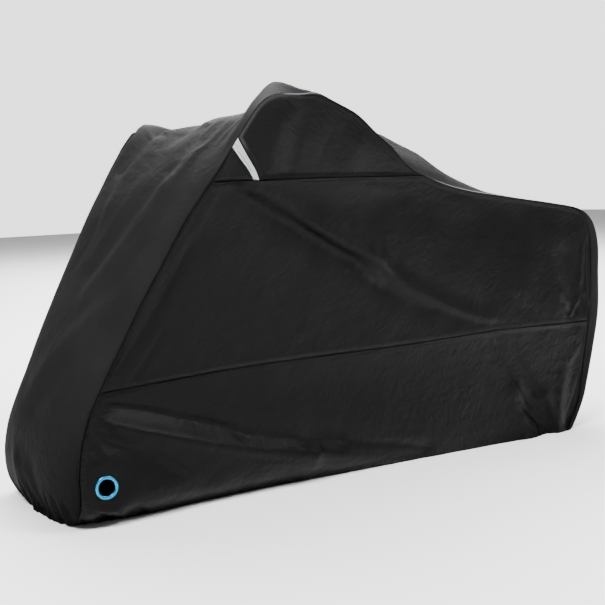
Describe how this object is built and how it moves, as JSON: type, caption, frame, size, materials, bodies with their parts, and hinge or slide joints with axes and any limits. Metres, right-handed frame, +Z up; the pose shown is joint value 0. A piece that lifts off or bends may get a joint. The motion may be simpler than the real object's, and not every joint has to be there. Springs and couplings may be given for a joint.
{
  "type": "motorcycle cover",
  "caption": "Fitted dark cloth motorcycle cover, hollow and draped to shape, with centre strip, side and skirt panels, handlebar pockets, reflective strips and lock rings",
  "frame": {"origin": "the middle of the cover's footprint, on the ground under the hem", "axes": "+X to the tail, +Y to the right side, +Z up"},
  "size_m": [2.2743, 0.8601, 1.2509],
  "materials": {
    "side_cloth": "coated plain weave, satin",
    "strip_cloth": "coated plain weave, satin",
    "reflective_tape": "silver reflective tape",
    "lock_ring": "anodised blue"
  },
  "bodies": {
    "root": {"centre_strip": "strip_cloth", "skirt_panel_left": "side_cloth", "side_panel_left": "side_cloth", "handlebar_pocket_left": "side_cloth", "front_gusset_left": "side_cloth", "reflective_strip_left": "reflective_tape", "skirt_panel_right": "side_cloth", "side_panel_right": "side_cloth", "handlebar_pocket_right": "side_cloth", "front_gusset_right": "side_cloth", "reflective_strip_right": "reflective_tape", "lock_ring_left": "lock_ring", "lock_ring_right": "lock_ring"}
  },
  "joints": []
}
